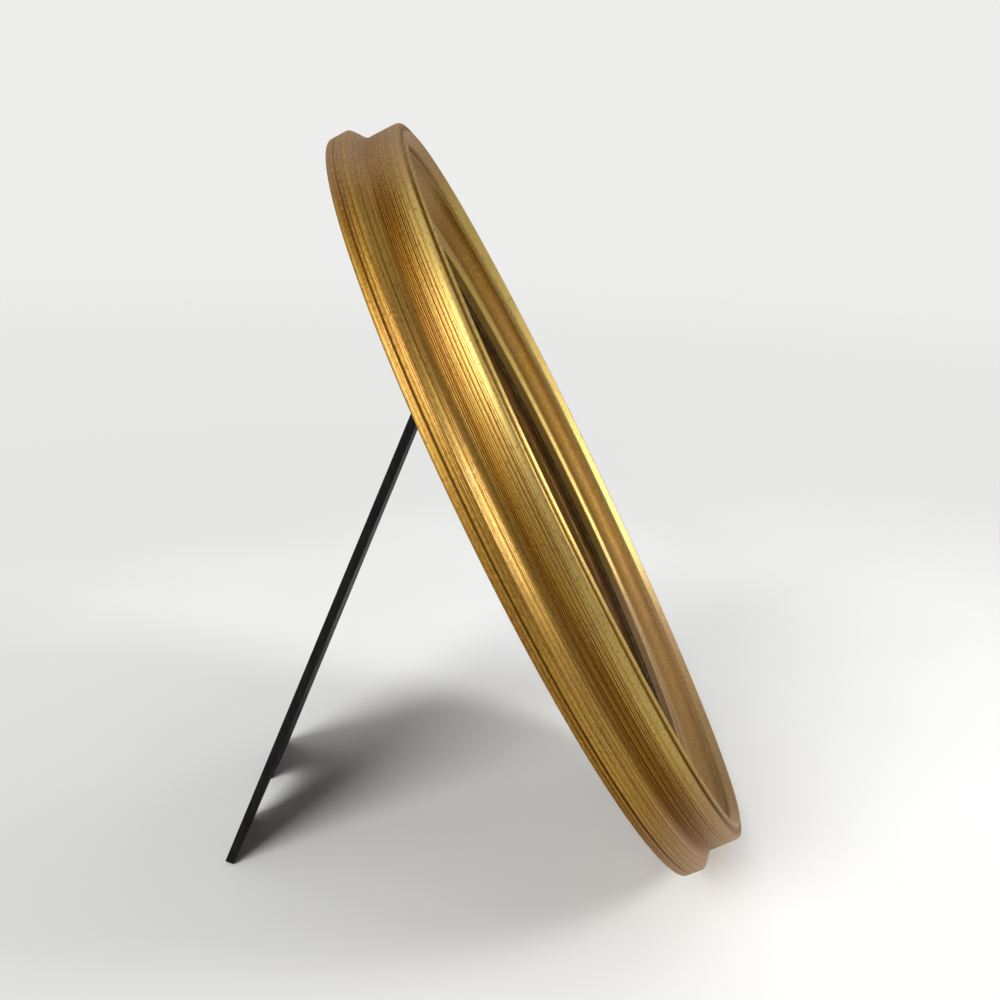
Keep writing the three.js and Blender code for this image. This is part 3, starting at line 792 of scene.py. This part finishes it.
def deep_lines(points, zones):
    """Wax in the deeper turning lines, stronger where the cove holds it."""
    run = run_along(points)
    run = run - run[zones.index("edge")]
    held = share_at(points[:, 1], DEEP_LINE_WAX) * np.isin(zones, OUTSIDE)
    nearest = np.abs(run[:, None] - np.array(DEEP_LINES)).min(axis=1)
    return held * beside(nearest, DEEP_LINE_HALF_WIDTH)


def hollow_of(points, zones):
    """How much brown wax and painted shade the cove, the quirks, the groove and the other hollows hold at
    each point, from 0 to 1.
    """
    offset, height = points[:, 0], points[:, 1]
    front = height > SIGHT_HEIGHT
    from_lip_foot = np.hypot(offset - SCOOP_TOP[0], height - SCOOP_TOP[1])
    from_bead_foot = offset - SCOOP_FOOT[0]
    return np.maximum.reduce([
        share_at(height, COVE_WAX_AND_SHADE) * np.isin(zones, OUTSIDE) * (offset < COVE_EDGE),
        share_at(offset, GROOVE_SHADE) * (height > SHOULDER_HEIGHT - 1),
        share_at(offset, SCOOP_WAX_AND_SHADE) * np.isin(zones, "scoop"),
        QUIRK_WAX_AND_SHADE * np.isin(zones, "quirk"),
        LIP_FOOT_WAX_AND_SHADE * beside(from_lip_foot, LIP_FOOT_REACH),
        BEAD_WAX_AND_SHADE * front * beside(from_bead_foot, BEAD_FOOT_REACH),
        BEAD_WAX_AND_SHADE * front * beside(from_bead_foot + BEAD_WIDTH, BEAD_VALLEY_REACH),
        SIGHT_WAX_AND_SHADE * np.isin(zones, "sight"),
        deep_lines(points, zones),
    ])


# How clearly the turning lines show in each zone of the section, and how bright it is rubbed and painted pale
# as a highlight.
ZONE_FINISH = {
    "back": (0.3, 0.0),
    "edge": (0.7, 0.1),
    "quirk": (0.5, 0.1),
    "band": (0.75, 0.15),
    "slope": (0.85, 0.4),
    "flank": (1.0, 0.0),
    "shoulder": (0.2, 0.85),
    "lip": (0.12, 1.0),
    "scoop": (0.08, 0.1),
    "bead": (0.12, 0.8),
    "sight": (0.2, 0.7),
    "rabbet": (0.3, 0.0),
}
FLANK_RUB_AND_HIGHLIGHT_START = COVE_HEIGHT + 2
SCOOP_RUB_AND_HIGHLIGHT_WIDTH = 5


def crest_run():
    """How far round the section, from its start, the crest over the band lies."""
    points, zones = moulding_section()
    last_of_band = np.flatnonzero(np.isin(zones, "band"))[-1]
    return run_along(points)[last_of_band] * MM


def rub_and_highlight(points, zones):
    """How bright each point is rubbed, with a paler painted highlight, which grows up the flank and down the
    scoop.
    """
    offset, height = points[:, 0], points[:, 1]
    plain = np.array([ZONE_FINISH[zone][1] for zone in zones])
    rise = np.clip((height - FLANK_RUB_AND_HIGHLIGHT_START) / (RIM_HEIGHT - FLANK_RUB_AND_HIGHLIGHT_START), 0, 1)
    down = np.interp(offset, (SCOOP_FOOT[0], SCOOP_FOOT[0] + SCOOP_RUB_AND_HIGHLIGHT_WIDTH), (0.6, 0.1))
    rubbed = np.where(np.isin(zones, "scoop"), down, plain)
    return np.where(np.isin(zones, "flank"), 0.75 * rise, rubbed)


def point_values(piece, name, values):
    """Keeps a number at each point of a piece, for its finish to read."""
    kept = piece.data.attributes.new(name, "FLOAT", "POINT")
    kept.data.foreach_set("value", np.asarray(values, np.float32))


def turned_moulding():
    """The moulding: its section spun round a lathe's axis, then spread into an oval."""
    points, zones = moulding_section()
    across = np.roll(points, -1, axis=0) - np.roll(points, 1, axis=0)
    tangent = across / np.linalg.norm(across, axis=1)[:, None]
    inward = np.stack([-tangent[:, 1], tangent[:, 0]], axis=1)
    cut = points + inward * (tool_marks(points, zones) * TOOL_MARK_DEPTH)[:, None]

    ring = closed_outline([(HALF_WIDTH + offset * MM, -height * MM, 0) for offset, height in cut])
    point_values(ring, "run", run_along(points) * MM)
    point_values(ring, "hollow", hollow_of(points, zones))
    point_values(ring, "lined", [ZONE_FINISH[zone][0] for zone in zones])
    point_values(ring, "rubbed_and_highlit", rub_and_highlight(points, zones))
    point_values(ring, "bare", [zone in ("back", "rabbet") for zone in zones])
    bpy.ops.object.mode_set(mode="EDIT")
    bpy.ops.mesh.select_all(action="SELECT")
    bpy.ops.mesh.spin(steps=RING_STEPS, angle=math.tau, center=(0, 0, 0), axis=(0, 1, 0))
    bpy.ops.mesh.select_all(action="SELECT")
    bpy.ops.mesh.remove_doubles(threshold=SAME_PLACE)
    bpy.ops.mesh.normals_make_consistent(inside=False)
    bpy.ops.object.mode_set(mode="OBJECT")
    spread_into_oval(ring)
    make_active(ring)
    bpy.ops.object.shade_smooth_by_angle(angle=MOULDING_SMOOTH_ANGLE)
    return ring


def spread_into_oval(ring):
    """Moves each point along Z with the cosine of its angle, and keeps where it was on the lathe."""
    mesh = ring.data
    place = np.empty(len(mesh.vertices) * 3, np.float32)
    mesh.vertices.foreach_get("co", place)
    place = place.reshape(-1, 3)
    run = np.empty(len(place), np.float32)
    mesh.attributes["run"].data.foreach_get("value", run)
    radius = np.hypot(place[:, 0], place[:, 2])
    across, up = place[:, 0] / radius, place[:, 2] / radius
    lathe = np.stack([across * HALF_WIDTH, up * HALF_WIDTH, run], axis=1)
    held = mesh.attributes.new("lathe", "FLOAT_VECTOR", "POINT")
    held.data.foreach_set("vector", lathe.astype(np.float32).ravel())
    place[:, 2] += OVAL_SLIDE * up
    mesh.vertices.foreach_set("co", place.ravel())
    mesh.update()


# Easel board and strut

def easel_board():
    """Oval board that closes the back."""
    half_width = HALF_WIDTH + FLAT_OFFSET
    half_height = HALF_HEIGHT + FLAT_OFFSET
    angles = np.linspace(0, math.tau, BOARD_STEPS, endpoint=False)
    outline = [(half_width * math.sin(a), BOARD_FRONT, half_height * math.cos(a)) for a in angles]
    board = extrude_outline(outline, (0, BOARD_BACK - BOARD_FRONT, 0))
    x, z = BOARD_RIVET
    height = hinge_height()
    for side in (-x, x):
        cut_with(board, drill(side, height + z, RIVET_RADIUS + GAP, BOARD_FRONT - MM, BOARD_BACK + MM))
    ease_edges(board, BOARD_EASE)
    return board


def hinge_height():
    """How far above the middle of the back the pin lies, along the moulding."""
    return (FRAME_PLACE.inverted() @ HINGE_PIN).z


def strut_outline(foot):
    """Outline of the strut about the pin: taper, rounded feet, arch and hinge notch."""
    left = [(-STRUT_TOP_HALF_WIDTH, STRUT_HEEL)]
    round_middle = (FOOT_ROUND - STRUT_FOOT_HALF_WIDTH, foot + FOOT_ROUND)
    left += arc(FOOT_ROUND, 180, 270, 6, round_middle)
    angles = np.linspace(0, math.pi, ARCH_STEPS + 1)
    arch = [(-ARCH_HALF_WIDTH * math.cos(a), foot + ARCH_HEIGHT * math.sin(a)) for a in angles]
    right = [(-x, z) for x, z in reversed(left)]
    notch = [
        (NOTCH_HALF_WIDTH, STRUT_HEEL),
        (NOTCH_HALF_WIDTH, -NOTCH_DEPTH),
        (-NOTCH_HALF_WIDTH, -NOTCH_DEPTH),
        (-NOTCH_HALF_WIDTH, STRUT_HEEL),
    ]
    return left + arch + right + notch


def strut_board():
    """Strut about the pin, with its heel sawn parallel to the board and its feet sawn level."""
    strut_lean = OPENING - LEAN
    level = -HINGE_PIN.z
    floor_cut = STRUT_FRONT + FOOT_FLAT * math.cos(strut_lean)
    foot = (level - floor_cut * math.sin(strut_lean)) / math.cos(strut_lean)
    outline = [(x, STRUT_FRONT, z) for x, z in strut_outline(foot)]
    strut = extrude_outline(outline, (0, STRUT_THICK, 0))
    down = Matrix.Rotation(-strut_lean, 3, "X") @ Vector((0, 0, -1))
    saw_off(strut, -down * level, down)
    forward = Matrix.Rotation(-OPENING, 3, "X") @ Vector((0, -1, 0))
    heel_reach = KNUCKLE_RADIUS + GAP - HEEL_STOP_GAP
    saw_off(strut, forward * heel_reach, forward)
    x, z = STRUT_RIVET
    for side in (-x, x):
        cut_with(strut, drill(side, z, RIVET_RADIUS + GAP, STRUT_FRONT - MM, STRUT_BACK + MM))
    ease_edges(strut, STRUT_EASE)
    return strut


# Hinge

def leaf_section(length):
    """A strip that rises beside the pin and is rolled round it, as (y, z)."""
    plate_back = LEAF_THICK - KNUCKLE_RADIUS
    rolled = arc(KNUCKLE_RADIUS, KNUCKLE_START, KNUCKLE_END, 48)
    inside = arc(BORE_RADIUS, KNUCKLE_END, BORE_END, 44)
    return [(-KNUCKLE_RADIUS, length), *rolled, *inside, (plate_back, 0.1 * MM), (plate_back, length)]


def leaf_blank(width, length):
    """A leaf over its full width, with its two far corners rounded."""
    section = leaf_section(length)
    leaf = extrude_outline([(-width / 2, y, z) for y, z in section], (width, 0, 0))
    bpy.ops.object.mode_set(mode="EDIT")
    bpy.ops.mesh.select_all(action="DESELECT")
    bpy.ops.object.mode_set(mode="OBJECT")
    for edge in leaf.data.edges:
        a, b = (leaf.data.vertices[i].co for i in edge.vertices)
        at_far_end = min(a.z, b.z) > length - SAME_PLACE
        edge.select = at_far_end and abs(a.x - b.x) < SAME_PLACE
    bpy.ops.object.mode_set(mode="EDIT")
    bpy.ops.mesh.select_mode(type="EDGE")
    bpy.ops.mesh.bevel(offset=LEAF_ROUND, segments=8, affect="EDGES")
    bpy.ops.mesh.select_mode(type="VERT")
    bpy.ops.object.mode_set(mode="OBJECT")
    return leaf


def hinge_leaf_on_board():
    """Leaf with two outer knuckles, open in the middle."""
    leaf = leaf_blank(BOARD_LEAF_WIDTH, BOARD_LEAF_LENGTH)
    reach = 2 * KNUCKLE_RADIUS
    half = MIDDLE_KNUCKLE_WIDTH / 2 + KNUCKLE_CLEARANCE
    cut_with(leaf, block((-half, -reach, -reach), (half, reach, KNUCKLE_RADIUS + GAP)))
    x, z = BOARD_RIVET
    for side in (-x, x):
        cut_with(leaf, drill(side, z, RIVET_RADIUS + GAP, -reach, reach))
    ease_edges(leaf, LEAF_EASE, 2)
    return leaf


def hinge_leaf_on_strut():
    """Leaf with one middle knuckle, hanging down the strut."""
    leaf = leaf_blank(STRUT_LEAF_WIDTH, STRUT_LEAF_LENGTH)
    make_active(leaf)
    leaf.rotation_euler = (math.pi, 0, 0)
    bpy.ops.object.transform_apply(location=True, rotation=True, scale=True)
    reach = 2 * KNUCKLE_RADIUS
    half = MIDDLE_KNUCKLE_WIDTH / 2
    clear = -KNUCKLE_RADIUS - GAP
    cut_with(leaf, block((-STRUT_LEAF_WIDTH, -reach, clear), (-half, reach, reach)))
    cut_with(leaf, block((half, -reach, clear), (STRUT_LEAF_WIDTH, reach, reach)))
    x, z = STRUT_RIVET
    for side in (-x, x):
        cut_with(leaf, drill(side, z, RIVET_RADIUS + GAP, -reach, reach))
    ease_edges(leaf, LEAF_EASE, 2)
    return leaf


def hinge_pin():
    """Round pin along X, as long as the hinge is wide."""
    start_piece()
    bpy.ops.mesh.primitive_cylinder_add(
        vertices=40,
        radius=PIN_RADIUS,
        depth=BOARD_LEAF_WIDTH,
        rotation=(0, math.radians(90), 0),
    )
    pin = bpy.context.object
    bpy.ops.object.transform_apply(location=True, rotation=True, scale=True)
    ease_edges(pin, PIN_EASE)
    return pin


# Rivets, turn buttons and screws

def domed_head(radius, height, shank_radius, shank, point=0.0):
    """A round head on Y = 0 with a domed back, and a shank that reaches forward."""
    start_piece()
    bpy.ops.mesh.primitive_cylinder_add(
        vertices=48,
        radius=radius,
        depth=height,
        location=(0, height / 2, 0),
        rotation=(math.radians(-90), 0, 0),
    )
    head = bpy.context.object
    bpy.ops.object.transform_apply(location=True, rotation=True, scale=True)
    bpy.ops.object.mode_set(mode="EDIT")
    dome = height * DOME_SHARE
    select_cap(head, back=True)
    bpy.ops.transform.translate(value=(0, -dome, 0))
    for step in range(1, DOME_STEPS):
        below = math.pi / 2 * (step - 1) / DOME_STEPS
        above = math.pi / 2 * step / DOME_STEPS
        rise = dome * (math.sin(above) - math.sin(below))
        shrink = math.cos(above) / math.cos(below)
        select_cap(head, back=True)
        bpy.ops.mesh.extrude_region_move(TRANSFORM_OT_translate={"value": (0, rise, 0)})
        bpy.ops.transform.resize(value=(shrink, 1, shrink), center_override=(0, 0, 0))
    select_cap(head, back=False)
    bpy.ops.mesh.inset(thickness=radius - shank_radius)
    bpy.ops.mesh.extrude_region_move(TRANSFORM_OT_translate={"value": (0, point - shank, 0)})
    if point:
        tip = (SCREW_TIP_SHARE, 1, SCREW_TIP_SHARE)
        bpy.ops.mesh.extrude_region_move(TRANSFORM_OT_translate={"value": (0, -point, 0)})
        bpy.ops.transform.resize(value=tip, center_override=(0, 0, 0))
    bpy.ops.object.mode_set(mode="OBJECT")
    return head


def select_cap(piece, back):
    """Selects the flat round face furthest back, or furthest forward."""
    bpy.ops.mesh.select_all(action="DESELECT")
    bpy.ops.mesh.select_mode(type="FACE")
    bpy.ops.object.mode_set(mode="OBJECT")
    caps = [face for face in piece.data.polygons if len(face.vertices) > 8]
    cap = max(caps, key=lambda face: face.center.y if back else -face.center.y)
    cap.select = True
    bpy.ops.object.mode_set(mode="EDIT")


def rivet(shank):
    """Round-head rivet with a plain shank."""
    piece = domed_head(RIVET_HEAD_RADIUS, RIVET_HEAD_HEIGHT, RIVET_RADIUS, shank)
    ease_edges(piece, HEAD_EASE, 2)
    return piece


def button_screw():
    """Slotted round-head wood screw, its head on Y = 0."""
    seat = 2 * GAP + BUTTON_THICK
    piece = domed_head(SCREW_HEAD_RADIUS, SCREW_HEAD_HEIGHT, SCREW_RADIUS, SCREW_LENGTH + seat, SCREW_POINT)
    top = SCREW_HEAD_HEIGHT
    reach = 2 * SCREW_HEAD_RADIUS
    slot = block((-reach, top - SLOT_DEPTH, -SLOT_WIDTH / 2), (reach, top + MM, SLOT_WIDTH / 2))
    cut_with(piece, slot)
    ease_edges(piece, HEAD_EASE, 2)
    return piece


def turn_button():
    """Flat button about its screw, with its tip toward -Z."""
    side = math.degrees(math.asin((BUTTON_ROOT_RADIUS - BUTTON_TIP_RADIUS) / BUTTON_LENGTH))
    root = arc(BUTTON_ROOT_RADIUS, -side, 180 + side, 40)
    tip = arc(BUTTON_TIP_RADIUS, 180 + side, 360 - side, 30, (0.0, -BUTTON_LENGTH))
    outline = [(x, GAP, z) for x, z in root + tip]
    button = extrude_outline(outline, (0, BUTTON_THICK, 0))
    cut_with(button, drill(0, 0, BUTTON_HOLE_RADIUS, GAP - MM, GAP + BUTTON_THICK + MM))
    ease_edges(button, BUTTON_EASE)
    return button


# Assembly

def fit_hardware(brass, steel):
    """Hinge, rivets, turn buttons and screws."""
    settle(hinge_leaf_on_board(), "board_leaf", HINGE_PLACE, "hinge_board_leaf", brass)
    settle(hinge_leaf_on_strut(), "strut_leaf", STRUT_PLACE, "hinge_strut_leaf", brass)
    settle(hinge_pin(), "pin", HINGE_PLACE, "hinge_pin", steel)

    board_seat = LEAF_THICK - KNUCKLE_RADIUS + GAP
    strut_seat = KNUCKLE_RADIUS + GAP
    board_rivet = rivet(LEAF_THICK + (BOARD_BACK - BOARD_FRONT) + GAP)
    strut_rivet = rivet(LEAF_THICK + STRUT_THICK + GAP)
    for side, sign in (("left", -1), ("right", 1)):
        x, z = BOARD_RIVET
        place = HINGE_PLACE @ Matrix.Translation((sign * x, board_seat, z))
        settle(copy_of(board_rivet), f"rivet_on_board_{side}", place, f"board_rivet_{side}", brass)
        x, z = STRUT_RIVET
        place = STRUT_PLACE @ Matrix.Translation((sign * x, strut_seat, z))
        settle(copy_of(strut_rivet), f"rivet_on_strut_{side}", place, f"strut_rivet_{side}", brass)
    bpy.data.objects.remove(board_rivet)
    bpy.data.objects.remove(strut_rivet)

    button, screw = turn_button(), button_screw()
    head_seat = 2 * GAP + BUTTON_THICK
    across = HALF_WIDTH - BUTTON_RING_INSET
    up = HALF_HEIGHT - BUTTON_RING_INSET
    for corner, slot_turn in SLOT_TURNS.items():
        pivot = FRAME_PLACE.inverted() @ Vector(JOINTS[f"button_{corner}_turn"]["pos_m"])
        inward = math.atan2(pivot.x / across**2, pivot.z / up**2)
        place = FRAME_PLACE @ Matrix.Translation((pivot.x, 0, pivot.z)) @ Matrix.Rotation(inward, 4, "Y")
        settle(copy_of(button), f"button_{corner}", place, f"turn_button_{corner}", brass)
        seated = place @ Matrix.Translation((0, head_seat, 0)) @ Matrix.Rotation(slot_turn, 4, "Y")
        settle(copy_of(screw), f"screw_{corner}", seated, f"turn_button_screw_{corner}", steel)
    bpy.data.objects.remove(button)
    bpy.data.objects.remove(screw)


def dress_flat(node, material):
    """Gives a flat CAD piece its finish."""
    mesh = frame["nodes"][node].data
    mesh.materials.clear()
    mesh.materials.append(material)


def build_frame():
    """Every piece of the frame, in its place and finish."""
    brass = metal_finish("aged_brass", BRASS, BROWN_BRASS, 0.26)
    steel = metal_finish("plain_steel", STEEL, GREY_STEEL, 0.28)
    settle(turned_moulding(), "oval_moulding", FRAME_PLACE, "moulding", gilt_wood())
    settle(easel_board(), "back_board", FRAME_PLACE, "easel_board", black_backing())
    settle(strut_board(), "easel_leg", STRUT_PLACE, "strut", black_board())
    fit_hardware(brass, steel)
    dress_flat("glass", clear_glass())
    dress_flat("picture_sheet", black_paper())
    dress_flat("filler_board", grey_card())


# Floor, light and camera

PALE_WHITE = tint(1, 1, 0.985)
PALE_BACKGROUND = 0.85
NEAR_GLOW = 0.8
FLOOR_DARK = tint(0.81, 0.81, 0.795)
FLOOR_LIGHT = tint(0.85, 0.85, 0.835)
FLOOR_RADIUS = 4.0
FLOOR_FADE = (0.16, 0.55)
GLOW_REACH = (0.4, 2.5)
AMBIENT_COLOUR = tint(0.96, 0.98, 1.0)
AMBIENT_STRENGTH = 0.14
PALE_SHARES = (("Is Glossy Ray", 0.6), ("Is Transmission Ray", 1.0))


def pale_floor():
    """Wide pale floor that fades into the pale surroundings."""
    start_piece()
    bpy.ops.mesh.primitive_circle_add(vertices=96, radius=FLOOR_RADIUS, fill_type="NGON")
    floor = bpy.context.object
    floor.name = "floor"
    r = Recipe("pale_floor")
    tone = r.noise(r.place((6, 6, 6)))
    paper = r.mix(r.range(tone, 0.3, 0.7), FLOOR_DARK, FLOOR_LIGHT)
    r.finish(base_color=paper, roughness=0.9)
    r.shader.inputs["Specular IOR Level"].default_value = 0.1
    distance = r.node("ShaderNodeVectorMath", {0: r.place()}, operation="LENGTH").outputs["Value"]
    far = r.range(distance, *FLOOR_FADE)
    strength = r.range(distance, *GLOW_REACH, NEAR_GLOW, PALE_BACKGROUND)
    glow = r.node("ShaderNodeEmission", {"Color": PALE_WHITE, "Strength": strength})
    both = r.node("ShaderNodeMixShader", {0: far, 1: r.shader.outputs["BSDF"], 2: glow.outputs["Emission"]})
    r.tree.links.new(both.outputs["Shader"], r.tree.nodes["Material Output"].inputs["Surface"])
    floor.data.materials.append(r.material)


def surroundings():
    """Even light from all round, pale to the eye and in the gold and the glass."""
    world = bpy.data.worlds.new("studio")
    bpy.context.scene.world = world
    world.use_nodes = True
    tree = world.node_tree
    background = tree.nodes["Background"]
    background.inputs["Color"].default_value = AMBIENT_COLOUR
    background.inputs["Strength"].default_value = AMBIENT_STRENGTH
    pale = tree.nodes.new("ShaderNodeBackground")
    pale.inputs["Color"].default_value = PALE_WHITE
    pale.inputs["Strength"].default_value = PALE_BACKGROUND
    path = tree.nodes.new("ShaderNodeLightPath")
    seen = path.outputs["Is Camera Ray"]
    for ray, share in PALE_SHARES:
        part = tree.nodes.new("ShaderNodeMath")
        part.operation = "MULTIPLY"
        tree.links.new(path.outputs[ray], part.inputs[0])
        part.inputs[1].default_value = share
        either = tree.nodes.new("ShaderNodeMath")
        either.operation = "MAXIMUM"
        tree.links.new(seen, either.inputs[0])
        tree.links.new(part.outputs[0], either.inputs[1])
        seen = either.outputs[0]
    mix = tree.nodes.new("ShaderNodeMixShader")
    tree.links.new(seen, mix.inputs[0])
    tree.links.new(background.outputs[0], mix.inputs[1])
    tree.links.new(pale.outputs[0], mix.inputs[2])
    tree.links.new(mix.outputs[0], tree.nodes["World Output"].inputs["Surface"])


def soft_lamp(name, toward, distance, size, power):
    """Soft white square lamp, at a distance from the object in a given direction."""
    start_piece()
    direction = Vector(toward).normalized()
    bpy.ops.object.light_add(type="AREA", location=CAMERA_TARGET + direction * distance)
    lamp = bpy.context.object
    lamp.name = name
    lamp.rotation_mode = "QUATERNION"
    lamp.rotation_quaternion = direction.to_track_quat("Z", "Y")
    lamp.visible_camera = False
    lamp.data.shape = "SQUARE"
    lamp.data.size = size
    lamp.data.energy = power
    return lamp


def place_camera():
    """Camera at the picture's own viewing angle."""
    start_piece()
    back = Vector((
        math.sin(CAMERA_AZIMUTH) * math.cos(CAMERA_ELEVATION),
        -math.cos(CAMERA_AZIMUTH) * math.cos(CAMERA_ELEVATION),
        math.sin(CAMERA_ELEVATION),
    ))
    bpy.ops.object.camera_add(location=CAMERA_TARGET + back * CAMERA_DISTANCE)
    camera = bpy.context.object
    camera.rotation_mode = "QUATERNION"
    camera.rotation_quaternion = back.to_track_quat("Z", "Y") @ Quaternion((0, 0, 1), CAMERA_ROLL)
    camera.data.lens = CAMERA_LENS
    camera.data.sensor_width = CAMERA_SENSOR
    camera.data.clip_start = CAMERA_NEAR
    camera.data.clip_end = CAMERA_FAR
    bpy.context.scene.camera = camera


build_frame()
pale_floor()
surroundings()
soft_lamp("window_light", (-0.72, 0.44, 0.56), distance=2.0, size=1.05, power=36.0)
soft_lamp("front_light", (-0.05, -0.89, 0.44), distance=1.0, size=0.32, power=5.4)
soft_lamp("ceiling_light", (0.0, 0.05, 1.0), distance=2.0, size=2.0, power=10.0)
floor_light = soft_lamp("floor_light", (0.45, -0.7, 0.55), distance=2.0, size=1.6, power=10.0)
floor_light.data.color = (1.0, 1.0, 0.99)
floor_light.visible_glossy = False
place_camera()
bpy.context.scene.view_settings.view_transform = "Standard"
